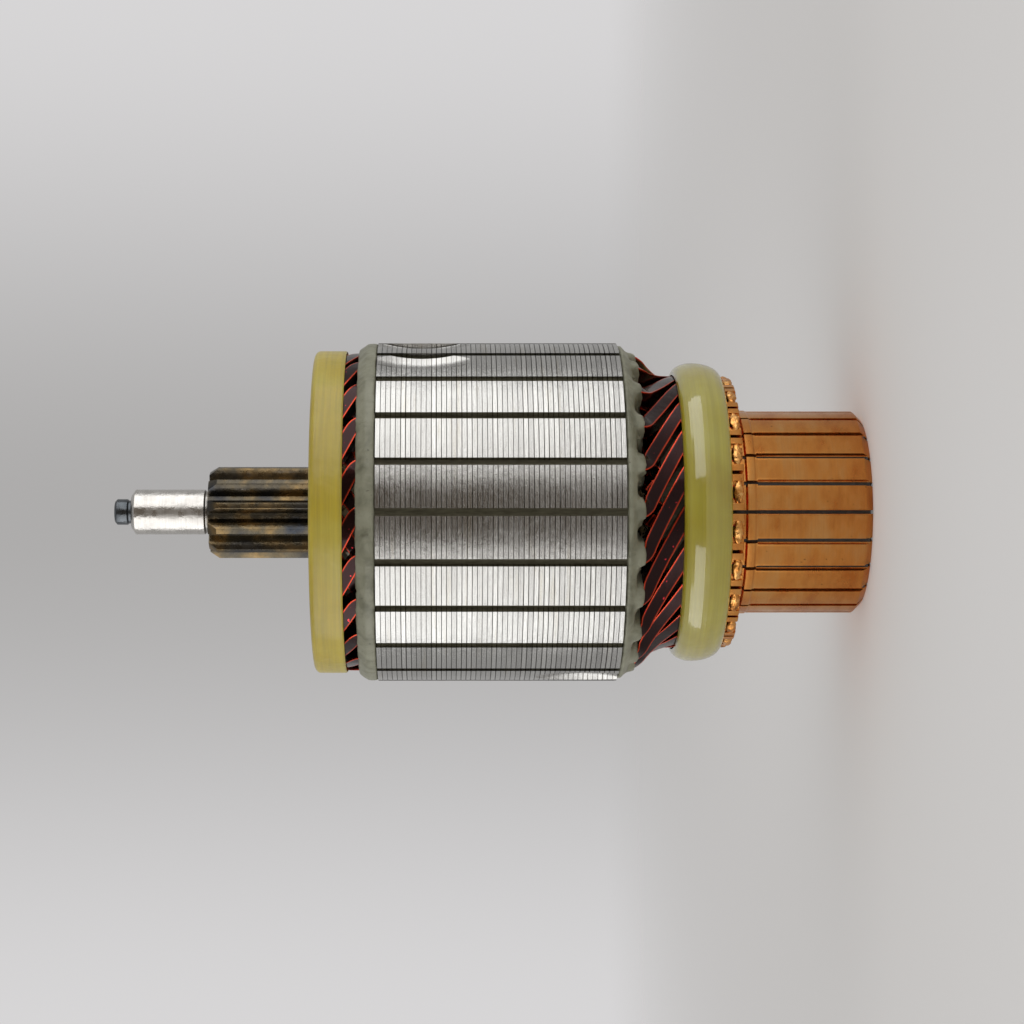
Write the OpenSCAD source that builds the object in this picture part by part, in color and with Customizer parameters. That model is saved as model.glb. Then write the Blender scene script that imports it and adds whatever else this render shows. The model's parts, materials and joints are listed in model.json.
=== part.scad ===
// Armature of a geared six-pole starter motor, standing on its commutator.
// Z runs along the shaft. The end face of the commutator bars lies at Z = 0 and the
// sun gear and drive-end journal are at the top. Slot 1 opens towards -Y.

/* [Laminated core] */
// Outside diameter of the core
core_d = 60; // [56:0.5:64]
// Length of the core along the shaft
core_len = 42; // [36:0.5:48]
// Thickness of one sheet with its coating
sheet_pitch = 0.857; // [0.8:0.001:1.2]
// Depth of the fine line between two sheets on the outside
sheet_line = 0.1; // [0.05:0.01:0.15]
// Diameter of the hole for the shaft
core_bore_d = 17; // [15.8:0.1:18]
// Width of a slot
slot_w = 3; // [2.95:0.05:3.4]
// Width of the slot opening between two tooth tips
slot_mouth_w = 1.3; // [0.8:0.1:2]
// Thickness of the tooth tips over a slot
lip_t = 1.4; // [1.2:0.1:2.4]

/* [Slot insulation] */
// Thickness of the slot liner
liner_t = 0.2; // [0.15:0.01:0.22]
// Play between a liner and what it touches
liner_play = 0.05; // [0.03:0.01:0.08]
// How far a liner stands out of the core at the drive end
liner_drive_out = 1.7; // [1:0.1:1.7]
// How far a liner stands out of the core at the commutator end
liner_comm_out = 0.2; // [0.1:0.05:0.2]
// Thickness of the separator between the two wires in a slot
separator_t = 0.4; // [0.3:0.05:0.6]

/* [Hairpins] */
// Width of the rectangular wire, around the shaft
wire_w = 2.35; // [2.1:0.05:2.35]
// Height of the rectangular wire, towards the shaft
wire_h = 3; // [2.8:0.05:3.1]
// From the core to the corner where the wires lean over, drive end
drive_corner = 3.2; // [3.1:0.1:3.6]
// From that corner up to the peak of the hairpins
head_rise = 6.1; // [5.8:0.1:6.2]
// How far the wires dip towards the shaft under the drive-end band
head_dip = 0.5; // [0.3:0.05:0.5]
// From the core to the corner where the wires lean over, commutator end
comm_corner = 3.25; // [3.25:0.05:3.6]
// From the risers to the corner where the wires straighten again
riser_corner = 3.5; // [3:0.1:4]
// How far the winding stands out beyond the risers between its band and the core
neck_rise = 0.5; // [0.4:0.05:0.7]
// Length along the shaft of the drop from the slots to that neck, for each mm of its depth
drop_slope = 1.1; // [1.08:0.01:1.2]

/* [End insulators] */
// How far the drive-end insulator lies inside the rim of the core
drive_plate_inset = 0.1; // [0.05:0.05:0.6]
// Thickness of its plate
drive_plate_t = 1.2; // [1:0.1:1.6]
// Height of its collar above the core
collar_h = 3.4; // [3:0.1:3.5]
// Wall of the collar over the wires
collar_wall = 0.35; // [0.3:0.05:0.5]
// How far the commutator-end insulator lies inside the rim of the core
comm_plate_inset = 0.4; // [0.1:0.05:0.8]
// Thickness of its plate
comm_plate_t = 1.9; // [1.4:0.1:2]
// Wall of a cuff beside a wire
cuff_wall = 1; // [0.8:0.1:1.1]
// Height of its cuffs above the core
cuff_h = 3.05; // [2.6:0.05:3.2]

/* [Bands] */
// How far the drive-end band lies inside the rim of the core
drive_band_inset = 1.4; // [0.5:0.05:1.5]
// How far the drive-end band reaches beyond the hairpins
drive_band_cover = 0.55; // [0.4:0.05:1.2]
// From the core to the drive-end band
drive_band_gap = 5.5; // [5.4:0.1:5.8]
// Rounding of the outer corner of the drive-end band
drive_band_round = 1; // [0.3:0.1:1.1]
// How far the crown of the commutator-end band stands out beyond the risers
comm_band_rise = 2.7; // [2:0.1:3.6]
// Width of the commutator-end band
comm_band_w = 8.2; // [7:0.1:9]
// How far the risers reach out from under the commutator-end band
riser_shown = 2; // [1.6:0.1:2.4]

/* [Commutator] */
// Diameter of the commutator track
track_d = 35.8; // [34.8:0.1:36]
// Length from the end face to the risers
track_len = 22.9; // [20:0.1:26]
// Chamfer on the end of the bars
bar_chamfer = 1.3; // [0.6:0.1:1.5]
// Gap between two bars
bar_gap = 0.6; // [0.4:0.05:0.8]
// Width of the saw cut that clears the insulation between two bars
undercut_w = 1; // [0.85:0.05:1.3]
// Depth of the saw cut
undercut_depth = 0.8; // [0.5:0.1:1]
// Width of the unturned shoulder and groove before the risers
shoulder_w = 2.8; // [2.4:0.1:3.2]
// Height of the unturned shoulder above the track
shoulder_h = 0.15; // [0.1:0.05:0.3]
// Width of the groove at the foot of the risers
groove_w = 1.3; // [0.9:0.1:1.5]
// Depth of that groove
groove_depth = 0.5; // [0.3:0.1:0.6]
// Diameter over the risers
riser_d = 47.6; // [47.2:0.1:48]
// Thickness of the risers along the shaft
riser_t = 4.1; // [3.6:0.1:4.6]
// Distance from the front of the risers to the core
back_gap = 20.2; // [19:0.1:22]
// Diameter inside the bars, on the moulded hub
bar_inner_d = 29.2; // [28.6:0.1:29.6]
// Diameter inside the dovetails of the bars
dovetail_d = 24.8; // [24:0.1:25.6]
// How far the moulded hub lies behind the end face of the bars
hub_recess = 0.5; // [0.2:0.1:1]
// Outside diameter of the steel bush
bush_d = 20.4; // [19:0.1:21]
// Height of a weld above the riser
weld_h = 0.25; // [0.1:0.05:0.4]
// Width of a weld
weld_w = 3.7; // [2.8:0.1:4]

/* [Shaft] */
// Diameter of the shaft in the commutator bush
rear_d = 16; // [15:0.1:16.5]
// How far the rear end of the shaft lies behind the end face of the bars
rear_recess = 1.5; // [0.8:0.1:3]
// Diameter of the bearing bore in the rear end
rear_bore_d = 8; // [6:0.5:10]
// Depth of the bearing bore
rear_bore_len = 16; // [10:0.5:20]
// Module of the sun gear
gear_module = 1.25; // [1.2:0.01:1.28]
// Number of teeth of the sun gear
gear_teeth = 11; // [10:1:12]
// Diameter over the teeth of the sun gear
gear_tip_d = 16.4; // [16:0.1:16.6]
// Diameter at the roots of the teeth
gear_root_d = 11.6; // [10.8:0.1:12.2]
// Distance from the core to the start of the teeth
gear_start_gap = 6; // [4:0.5:10]
// Distance from the core to the end of the teeth
gear_end_gap = 29.9; // [24:0.1:36]
// Diameter of the journal at the drive end
journal_d = 8; // [7:0.1:9]
// Length of the journal
journal_len = 13; // [10:0.5:16]
// Width of the neck between gear and journal
neck_w = 1; // [0.8:0.1:1.6]
// Diameter of the nose at the tip of the shaft
nose_d = 4.6; // [4:0.1:5.2]
// Length of the nose
nose_len = 3; // [2:0.1:4]

/* [Balance grooves] */
// Depth of the grooves that are milled in the core to balance it
groove_cut = 1.4; // [0.8:0.1:1.4]
// Diameter of the disc cutter
cutter_d = 54; // [46:1:60]
// Distance of the two upper grooves from the drive end of the core
upper_groove_gap = 7.8; // [6:0.1:12]
// Distance of the lower groove from the commutator end of the core
lower_groove_gap = 5.9; // [5:0.1:12]

/* [Hidden] */
slot_count = 22;
pitch = 360 / slot_count;
comm_throw = 2.5;
comm_throw_inner = 1.5;
head_span = 3;
slot_1_angle = -90;
curve_fn = 96;
fine_fn = 240;
bore_fn = 64;
eps = 0.01;

// Stations along the shaft
riser_z = track_len;
riser_back_z = riser_z + riser_t;
core_z = riser_z + back_gap;
core_top_z = core_z + core_len;
gear_z = core_top_z + gear_start_gap;
gear_top_z = core_top_z + gear_end_gap;
journal_z = gear_top_z + neck_w;
journal_top_z = journal_z + journal_len;
nose_top_z = journal_top_z + nose_len;
drive_band_z = core_top_z + drive_band_gap;
comm_band_z = riser_z + riser_shown;

// The slot and the two wires in it, measured from the axis
core_r = core_d / 2;
slot_top_r = core_r - lip_t;
wall = liner_t + liner_play;
wire_play = 0.1;
outer_slot_r = slot_top_r - wall - wire_play - wire_h / 2;
layer_step = wire_h + separator_t + wire_play;
inner_slot_r = outer_slot_r - layer_step;
slot_bottom_r = inner_slot_r - wire_h / 2 - wire_play - wall;

// Radii of the outer layer outside the slots
riser_r = riser_d / 2;
neck_r = riser_r + neck_rise - wire_h / 2;
head_r = outer_slot_r - head_dip;
weld_sink = 0.5;
riser_wire_r = riser_r - weld_sink - wire_play / 2 - wire_h / 2;
riser_slot_w = wire_w + wire_play;
riser_slot_r = riser_wire_r - layer_step - wire_h / 2 - wire_play / 2;

// Heights at which the winding changes its radius
exit_play = 0.25;
inner_lead = 1.45;
comm_drop_z = core_z - exit_play - inner_lead;
comm_drop_len = drop_slope * (outer_slot_r - neck_r);
head_drop_z = core_top_z + drive_corner + 0.5 * wire_play;
head_drop_len = head_rise - 1.7;
riser_drop_len = 3.4;
riser_drop_z = riser_back_z + riser_drop_len + 4 * wire_play;
wire_end_z = riser_z + 3 * wire_play;

// How far before a corner of a hairpin its bend starts
blunt_bend = 0.9;
sharp_bend = 1.3;
firm_bend = 1.5;
soft_bend = 1.9;

function numbered(name, i) = str(name, "_", i < 10 ? "0" : "", i);

// Smooth step from 0 to 1
function ease(t) = let (c = min(max(t, 0), 1)) c * c * (3 - 2 * c);

function unit(v) = v / norm(v);

// Puts a piece that is drawn at slot 1 in its place at slot i
module at_slot(i) rotate([0, 0, slot_1_angle + (i - 1) * pitch]) children();

module at_every_slot() for (i = [1 : slot_count]) at_slot(i) children();

module tube(outer_r, inner_r, length)
    difference() {
        cylinder(r = outer_r, h = length, $fn = curve_fn);
        translate([0, 0, -1]) cylinder(r = inner_r, h = length + 2, $fn = curve_fn);
    }

// A block that lies along +X: from radius r0 to r1, w wide, from z0 to z1
module block(r0, r1, w, z0, z1)
    translate([r0, -w / 2, z0]) cube([r1 - r0, w, z1 - z0]);

// A trough along +X from radius r0 to r1, from its section in [across, z]
module trough(r0, r1) translate([r0, 0, 0]) rotate([90, 0, 90]) linear_extrude(r1 - r0) children();

// A plate of thickness w that stands on the XZ plane, from an outline in [radius, z]
module upright(w) rotate([90, 0, 0]) linear_extrude(w, center = true) children();

// ---------------------------------------------------------------- laminated core

// Section of the stack: every sheet is a step, with a fine line to the next one
module stack_outline() {
    sheets = round(core_len / sheet_pitch);
    step = core_len / sheets;
    line_r = core_r - sheet_line;
    polygon(concat(
        [[core_bore_d / 2, core_top_z], [core_bore_d / 2, core_z], [line_r, core_z]],
        [for (i = [0 : sheets - 1]) let (z = core_z + i * step)
            each [[core_r, z + sheet_line / 2], [core_r, z + step - sheet_line / 2], [line_r, z + step]]]
    ));
}

// The path of the disc cutter that took metal off at one place of the rim
module balance_cut(angle, z) {
    half_w = 2.75;
    sink = core_r - sqrt(core_r * core_r - half_w * half_w);
    depth = groove_cut - sink;
    edge_r = (half_w * half_w + depth * depth) / (2 * depth);
    rotate([0, 0, slot_1_angle + angle])
        translate([core_r - groove_cut + cutter_d / 2, 0, z])
            rotate([90, 0, 0]) rotate_extrude($fn = curve_fn)
                intersection() {
                    translate([cutter_d / 2 - edge_r, 0]) circle(r = edge_r, $fn = bore_fn);
                    translate([cutter_d / 2 - edge_r / 2, -edge_r]) square([edge_r, 2 * edge_r]);
                }
}

module balance_cuts() {
    upper_z = core_top_z - upper_groove_gap;
    balance_cut(60, upper_z);
    balance_cut(77, upper_z);
    balance_cut(-73.6, core_z + lower_groove_gap);
}

module laminated_core() {
    below = core_z - 1;
    above = core_top_z + 1;
    color("silver") difference() {
        rotate_extrude($fn = curve_fn) stack_outline();
        at_every_slot() {
            block(slot_bottom_r, slot_top_r, slot_w, below, above);
            block(slot_top_r - eps, core_r + 1, slot_mouth_w, below, above);
        }
        balance_cuts();
    }
}

// ---------------------------------------------------------------- slot insulation

module slot_liners() {
    out_w = slot_w - 2 * liner_play;
    in_w = out_w - 2 * liner_t;
    low = slot_bottom_r + liner_play;
    high = slot_top_r - liner_play;
    z0 = core_z - liner_comm_out;
    z1 = core_top_z + liner_drive_out;
    color("darkkhaki") at_every_slot() difference() {
        block(low, high, out_w, z0, z1);
        block(low + liner_t, high - liner_t, in_w, z0 - 1, z1 + 1);
    }
}

module slot_separators() {
    middle_r = (outer_slot_r + inner_slot_r) / 2;
    color("khaki") at_every_slot()
        block(middle_r - separator_t / 2, middle_r + separator_t / 2, wire_w,
              core_z - liner_comm_out, core_top_z + liner_drive_out);
}

// Plate with a collar that closes over the wires where they leave the slots. Its windows are
// wider at the top, because the wires lean over there.
module drive_end_insulator() {
    r = core_r - drive_plate_inset;
    window_r = outer_slot_r + wire_h / 2 + wire_play;
    rim_r = window_r + collar_wall;
    hub_r = core_bore_d / 2 + 1;
    low = slot_bottom_r - 2 * collar_wall;
    plate_z = core_top_z + drive_plate_t;
    top_z = core_top_z + collar_h;
    liner_z = core_top_z + liner_drive_out + wire_play;
    half_w = slot_w / 2 + liner_play;
    spread = 0.8 * (top_z + 1 - liner_z);
    color("darkseagreen") difference() {
        rotate_extrude($fn = curve_fn) polygon([
            [hub_r, core_top_z], [r, core_top_z], [r, core_top_z + collar_h / 2], [rim_r, top_z],
            [low, top_z], [low - 1, plate_z], [hub_r, plate_z]
        ]);
        at_every_slot() {
            block(slot_bottom_r, slot_top_r, slot_w, core_top_z - 1, liner_z);
            trough(slot_bottom_r - liner_play, window_r) polygon([
                [-half_w, liner_z - liner_play], [half_w, liner_z - liner_play],
                [half_w + spread, top_z + 1], [-half_w - spread, top_z + 1]
            ]);
        }
    }
}

// Half of a leaning wire's height, measured straight out from the shaft, where its slope is rise
function half_height(rise) = wire_h / 2 * norm([1, rise]);

// Outline of the room that the two wires take as they drop towards the shaft, in [radius, z]
function drop_outline(play, high) =
    let (
        steps = 10,
        low = core_z - cuff_h - 1,
        step = (high - low) / steps,
        d = wire_play
    )
    concat(
        [for (i = [steps : -1 : 0]) let (z = low + i * step)
            [outer_leg_r(z) + play + half_height((outer_leg_r(z + d) - outer_leg_r(z - d)) / (2 * d)), z]],
        [for (i = [0 : steps]) let (z = low + i * step)
            [inner_leg_r(z) - play - half_height((inner_leg_r(z + d) - inner_leg_r(z - d)) / (2 * d)), z]]
    );

// Plate at the commutator end. Its cuffs follow the wires as they drop towards the shaft, and
// open out where the wires lean over.
module commutator_end_insulator() {
    r = core_r - comm_plate_inset;
    cuff_w = slot_w + 2 * cuff_wall;
    open_w = cuff_w - 0.6 * cuff_wall;
    open_z = core_z - comm_corner + firm_bend;
    plate_z = core_z - comm_plate_t;
    cuff_z = core_z - cuff_h;
    shoulder = 1.1;
    play = wall + 3 * wire_play;
    hub_r = core_bore_d / 2 + 1;
    low = inner_slot_r - wire_h;
    color("darkseagreen") difference() {
        union() {
            rotate_extrude($fn = curve_fn) polygon([
                [hub_r, plate_z], [r - 1.3 * shoulder, plate_z], [r, plate_z + shoulder],
                [r, core_z], [hub_r, core_z]
            ]);
            at_every_slot() upright(cuff_w) polygon([
                [low, plate_z + eps], [low, cuff_z], [slot_top_r - 2 * shoulder, cuff_z],
                [slot_top_r - shoulder / 2, plate_z + eps]
            ]);
        }
        at_every_slot() {
            upright(slot_w) polygon(drop_outline(play, core_z + 1));
            upright(open_w) polygon(drop_outline(play + wire_play, open_z));
            block(slot_bottom_r, slot_top_r, slot_w, comm_drop_z, core_z + 1);
        }
        balance_cuts();
    }
}

module layer_sleeve() {
    middle_r = neck_r - layer_step / 2;
    sleeve_t = separator_t - 0.1;
    z0 = riser_drop_z + 4 * wire_play;
    z1 = comm_drop_z - comm_drop_len - 4 * wire_play;
    color("tan") translate([0, 0, z0])
        tube(middle_r + sleeve_t / 2, middle_r - sleeve_t / 2, z1 - z0);
}

// ---------------------------------------------------------------- hairpins

// Radius of the middle of the outer layer at height z
function outer_leg_r(z) =
    z > core_top_z ? outer_slot_r - head_dip * ease((z - head_drop_z) / head_drop_len)
    : z > riser_drop_z ? outer_slot_r - (outer_slot_r - neck_r) * ease((comm_drop_z - z) / comm_drop_len)
    : neck_r - (neck_r - riser_wire_r) * ease((riser_drop_z - z) / riser_drop_len);

// Radius of the middle of the inner layer, which drops towards the shaft a little earlier
function inner_leg_r(z) =
    outer_leg_r(z > core_top_z || z < riser_drop_z + inner_lead ? z : z - inner_lead) - layer_step;

// Share of the way from the outer to the inner layer, as the wire crosses over the peak
function crossing(angle) =
    let (peak = -head_span * pitch / 2, half = 0.2 * pitch)
    ease((peak + half - angle) / (2 * half));

// From [angle, z] on the unrolled winding to a point in space
function on_winding(p) =
    let (inner = crossing(p[0]), r = (1 - inner) * outer_leg_r(p[1]) + inner * inner_leg_r(p[1]))
    [r * cos(p[0]), r * sin(p[0]), p[1]];

// Length of the step from a to b on the unrolled winding
function run(a, b) = norm([(b[0] - a[0]) * PI / 180 * neck_r, b[1] - a[1]]);

// A rounded corner at b, on the way from a to c, that starts reach before b
function corner(a, b, c, reach, steps) =
    let (p = b + (a - b) * reach / run(a, b), q = b + (c - b) * reach / run(b, c))
    [for (i = [0 : steps]) let (t = i / steps)
        (1 - t) * (1 - t) * p + 2 * t * (1 - t) * b + t * t * q];

// Points between the last point of one list and the first of the next
function bridge(a, b, steps) = [for (i = [1 : steps - 1]) a + (b - a) * i / steps];

function last(list) = list[len(list) - 1];

// Joins rounded corners with straight stretches, each cut in its own number of steps
function joined(corners, steps, i = 0) =
    i == len(corners) - 1 ? corners[i]
    : concat(corners[i], bridge(last(corners[i]), corners[i + 1][0], steps[i]),
             joined(corners, steps, i + 1));

// Route of one hairpin on the unrolled winding, from riser to riser
function hairpin_route() =
    let (
        low = riser_back_z + riser_corner,
        turn = core_z - comm_corner,
        lean = core_top_z + drive_corner,
        out = comm_throw * pitch,
        over = -head_span * pitch,
        in = over - comm_throw_inner * pitch,
        a = [out, wire_end_z],
        b = [out, low],
        c = [0, turn],
        d = [0, lean],
        peak = [over / 2, lean + head_rise],
        e = [over, lean],
        f = [over, turn],
        g = [in, low],
        h = [in, wire_end_z],
        outer_exit = [0, comm_drop_z],
        inner_exit = [over, comm_drop_z + inner_lead]
    )
    joined(
        [[a], corner(a, b, c, soft_bend, 2), corner(b, c, d, firm_bend, 4), [outer_exit],
         corner(c, d, peak, sharp_bend, 3), corner(d, peak, e, blunt_bend, 4),
         corner(peak, e, f, sharp_bend, 3), [inner_exit], corner(e, f, g, firm_bend, 4),
         corner(f, g, h, soft_bend, 2), [h]],
        [2, 3, 1, 1, 4, 4, 1, 2, 3, 2]
    );

// Corners of the wire's section at point i of a route in space
function section(route, i) =
    let (
        here = route[i],
        ahead = unit(route[min(i + 1, len(route) - 1)] - route[max(i - 1, 0)]),
        side = unit(cross(ahead, unit([here[0], here[1], 0]))),
        up = cross(side, ahead),
        x = side * wire_w / 2,
        y = up * wire_h / 2
    )
    [here + x + y, here - x + y, here - x - y, here + x - y];

module swept_wire(route) {
    rings = len(route);
    points = [for (i = [0 : rings - 1]) each section(route, i)];
    sides = [for (i = [0 : rings - 2], j = [0 : 3])
        let (a = 4 * i + j, b = 4 * i + (j + 1) % 4) each [[a, b, b + 4], [a, b + 4, a + 4]]];
    end = 4 * (rings - 1);
    polyhedron(points, concat([[3, 2, 1, 0]], sides, [[end, end + 1, end + 2, end + 3]]));
}

module hairpin(i) {
    color("darkred") at_slot(i) swept_wire([for (p = hairpin_route()) on_winding(p)]);
}

// ---------------------------------------------------------------- bands

// Points of a quarter round from angle a to b about a centre
function arc(centre, r, a, b, steps = 6) =
    [for (i = [0 : steps]) let (t = a + (b - a) * i / steps) centre + r * [cos(t), sin(t)]];

// Glass-fibre band over the hairpin heads, with a lip that closes over their edge
module drive_end_band() {
    play = 0.1;
    bevel = 0.25;
    r = core_r - drive_band_inset;
    z0 = drive_band_z;
    lip_z = core_top_z + drive_corner + head_rise + wire_w / 2 + play;
    z1 = lip_z + drive_band_cover;
    inner_r = head_r + wire_h / 2 + play;
    entry_r = outer_slot_r + wire_h / 2 + play;
    entry_z = head_drop_z + head_drop_len + wire_w / 2;
    lip_r = r - drive_band_round - 0.9;
    color("darkkhaki") rotate_extrude($fn = curve_fn) polygon(concat(
        [[entry_r, z0], [r - bevel / 2, z0], [r, z0 + bevel]],
        arc([r - drive_band_round, z1 - drive_band_round], drive_band_round, 0, 90),
        [[lip_r + bevel, z1], [lip_r, z1 - bevel], [lip_r, lip_z], [inner_r, lip_z], [inner_r, entry_z]]
    ));
}

// Wound band behind the risers, with a rounded back
module commutator_end_band() {
    z0 = comm_band_z;
    z1 = comm_band_z + comm_band_w;
    crown = riser_r + comm_band_rise;
    play = 0.1;
    seat_r = riser_r + play;
    inner_r = riser_r + neck_rise + play;
    edge_t = 0.2;
    middle = z0 + 0.58 * comm_band_w;
    steps = 9;
    front = [for (i = [0 : steps]) let (t = 90 * i / steps)
        [seat_r + edge_t + (crown - seat_r - edge_t) * sin(t), middle - (middle - z0) * cos(t)]];
    back = [for (i = [1 : steps]) let (t = 90 - 90 * i / steps)
        [inner_r + edge_t + (crown - inner_r - edge_t) * sin(t), middle + (z1 - middle) * cos(t)]];
    color("olive") rotate_extrude($fn = curve_fn) polygon(concat(
        front, back,
        [[inner_r, z1], [inner_r, riser_back_z + 1.6], [seat_r, riser_back_z + 0.3], [seat_r, z0]]
    ));
}

// ---------------------------------------------------------------- commutator

// Inner edge of a bar, which is the outer edge of the hub, in [radius, z]
dovetail_low = 3.6;
dovetail_high = riser_back_z - 3.6;
dovetail_lean = 1.6;
function hub_edge() = [
    [bar_inner_d / 2, dovetail_low + dovetail_lean],
    [dovetail_d / 2, dovetail_low],
    [dovetail_d / 2, dovetail_high],
    [bar_inner_d / 2, dovetail_high - dovetail_lean]
];

module bar_outline() {
    track_r = track_d / 2;
    shoulder_r = track_r + shoulder_h;
    shoulder_z = riser_z - shoulder_w;
    groove_z = riser_z - groove_w;
    groove_r = track_r - groove_depth;
    ease_cut = 0.2;
    polygon(concat(
        [[bar_inner_d / 2, 0], [track_r - bar_chamfer, 0], [track_r, bar_chamfer],
         [track_r, shoulder_z], [shoulder_r, shoulder_z + ease_cut], [shoulder_r, groove_z],
         [groove_r, groove_z + ease_cut], [groove_r, riser_z - ease_cut],
         [groove_r + ease_cut, riser_z], [riser_r - ease_cut, riser_z],
         [riser_r, riser_z + ease_cut], [riser_r, riser_back_z], [bar_inner_d / 2, riser_back_z]],
        [for (i = [3 : -1 : 0]) hub_edge()[i]]
    ));
}

// Copper bar with its riser. Both wires of the bar lie in the slot of the riser.
module commutator_bar(i) {
    undercut_r = track_d / 2 - undercut_depth;
    undercut_len = riser_z - shoulder_w - 0.3;
    color("peru") rotate([0, 0, slot_1_angle + (i - 0.5) * pitch]) difference() {
        rotate_extrude(angle = pitch, start = -pitch / 2, $fn = curve_fn) bar_outline();
        for (side = [-1, 1]) rotate([0, 0, side * pitch / 2]) {
            block(1, riser_r + 1, bar_gap, -1, riser_back_z + 1);
            block(undercut_r, riser_r + 1, undercut_w, -1, undercut_len);
        }
        block(riser_slot_r, riser_r + 1, riser_slot_w, riser_z, riser_back_z + 1);
        block(riser_r - weld_sink, riser_r + 1, weld_w + wire_play, riser_z, comm_band_z);
    }
}

// Weld that fuses the wire ends into the riser
module riser_welds() {
    play = 0.1;
    color("goldenrod") rotate([0, 0, pitch / 2]) at_every_slot() intersection() {
        block(riser_r - weld_sink, riser_r + 1, weld_w, riser_z + play, comm_band_z - play);
        cylinder(r = riser_r + weld_h, h = comm_band_z, $fn = fine_fn);
    }
}

// Moulded hub with a fin between each two bars
module commutator_moulding() {
    fin_r = track_d / 2 - undercut_depth;
    back_z = riser_back_z + 1.2;
    flange_r = riser_slot_r - 0.2;
    color("dimgray") union() {
        rotate_extrude($fn = curve_fn) polygon(concat(
            [[bush_d / 2, hub_recess], [bar_inner_d / 2, hub_recess]],
            hub_edge(),
            [[bar_inner_d / 2, riser_back_z], [flange_r, riser_back_z], [flange_r, back_z],
             [bush_d / 2, back_z]]
        ));
        at_every_slot()
            block(dovetail_d / 2 - 0.3, fin_r, bar_gap, hub_recess, riser_back_z + eps);
    }
}

module commutator_bush() {
    chamfer = 0.5;
    z0 = hub_recess + 0.3;
    z1 = riser_back_z + 1.8;
    color("gray") rotate_extrude($fn = curve_fn) polygon([
        [rear_d / 2 + chamfer, z0], [bush_d / 2, z0], [bush_d / 2, z1],
        [rear_d / 2, z1], [rear_d / 2, z0 + chamfer]
    ]);
}

// ---------------------------------------------------------------- shaft

// Angle in degrees that the involute of a base circle turns through up to radius r
function involute(base_r, r) =
    let (a = acos(base_r / r)) tan(a) * 180 / PI - a;

// Half of a tooth's angle at radius r
function half_tooth(r) =
    let (
        pressure = 20,
        pitch_r = gear_module * gear_teeth / 2,
        base_r = pitch_r * cos(pressure),
        shift = gear_tip_d / (2 * gear_module) - gear_teeth / 2 - 0.78,
        half_at_pitch = 90 / gear_teeth + 2 * shift * tan(pressure) / gear_teeth * 180 / PI,
        low = max(r, base_r)
    )
    half_at_pitch + involute(base_r, pitch_r) - involute(base_r, low);

// Section of the gear, a little longer than the teeth, whose tips are turned to size
module gear_outline() {
    steps = 6;
    over_r = gear_tip_d / 2 + 0.2;
    root_r = gear_root_d / 2;
    base_r = gear_module * gear_teeth / 2 * cos(20);
    start_r = max(base_r, root_r + 0.4);
    function flank(side) = [for (k = [0 : steps])
        let (r = start_r + (over_r - start_r) * k / steps) [r, side * half_tooth(r)]];
    // The root runs as an arc from the middle of one gap to the foot of the tooth
    root_angle = half_tooth(start_r) + 2.5;
    half_gap = 180 / gear_teeth;
    function tooth() = concat(
        [[root_r, -half_gap], [root_r, -root_angle]], flank(-1),
        [for (k = [steps : -1 : 0]) flank(1)[k]],
        [[root_r, root_angle]]
    );
    polygon([for (n = [0 : gear_teeth - 1], p = tooth())
        let (a = p[1] + n * 360 / gear_teeth) p[0] * [cos(a), sin(a)]]);
}

// Teeth of the sun gear, chamfered at their free end
module sun_gear() {
    chamfer_len = 1.6;
    chamfer_r = 1.05;
    first_tooth = 8;
    tip_r = gear_tip_d / 2;
    intersection() {
        rotate([0, 0, slot_1_angle + first_tooth]) translate([0, 0, gear_z - 2])
            linear_extrude(gear_top_z - gear_z + 2) gear_outline();
        rotate_extrude($fn = curve_fn) polygon([
            [0, gear_z - 3], [tip_r, gear_z - 3], [tip_r, gear_top_z - chamfer_len],
            [tip_r - chamfer_r, gear_top_z], [0, gear_top_z]
        ]);
    }
}

module shaft() {
    seat_r = core_bore_d / 2;
    rear_r = rear_d / 2;
    root_r = gear_root_d / 2;
    journal_r = journal_d / 2;
    nose_r = nose_d / 2;
    bore_r = rear_bore_d / 2;
    step_z = riser_back_z + 2.2;
    neck_r1 = journal_r - 0.3;
    edge = 0.4;
    color("dimgray") difference() {
        union() {
            rotate_extrude($fn = curve_fn) polygon([
                [0, rear_recess], [rear_r - edge, rear_recess], [rear_r, rear_recess + edge],
                [rear_r, step_z], [seat_r, step_z + 0.5], [seat_r, gear_z - 1],
                [root_r - 1, gear_z + 2.5], [neck_r1, gear_z + 2.5], [neck_r1, journal_z - 0.3], [journal_r, journal_z],
                [journal_r, journal_top_z - 0.7], [journal_r - 1, journal_top_z],
                [nose_r - 0.25, journal_top_z], [nose_r - 0.25, journal_top_z + 0.5],
                [nose_r, journal_top_z + 0.8], [nose_r, nose_top_z - edge],
                [nose_r - edge, nose_top_z], [0, nose_top_z]
            ]);
            sun_gear();
        }
        translate([0, 0, rear_recess - 1])
            cylinder(r = bore_r, h = rear_bore_len + 1, $fn = bore_fn);
        translate([0, 0, rear_recess + rear_bore_len - eps])
            cylinder(r1 = bore_r, r2 = 0, h = bore_r * tan(31), $fn = bore_fn);
        translate([0, 0, rear_recess - eps])
            cylinder(r1 = bore_r + 0.6, r2 = bore_r, h = 0.6, $fn = bore_fn);
    }
}

shaft();
laminated_core();
slot_liners();
slot_separators();
drive_end_insulator();
commutator_end_insulator();
layer_sleeve();
drive_end_band();
commutator_end_band();
commutator_bush();
commutator_moulding();
riser_welds();
for (i = [1 : slot_count]) hairpin(i);
for (i = [1 : slot_count]) commutator_bar(i);
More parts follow.
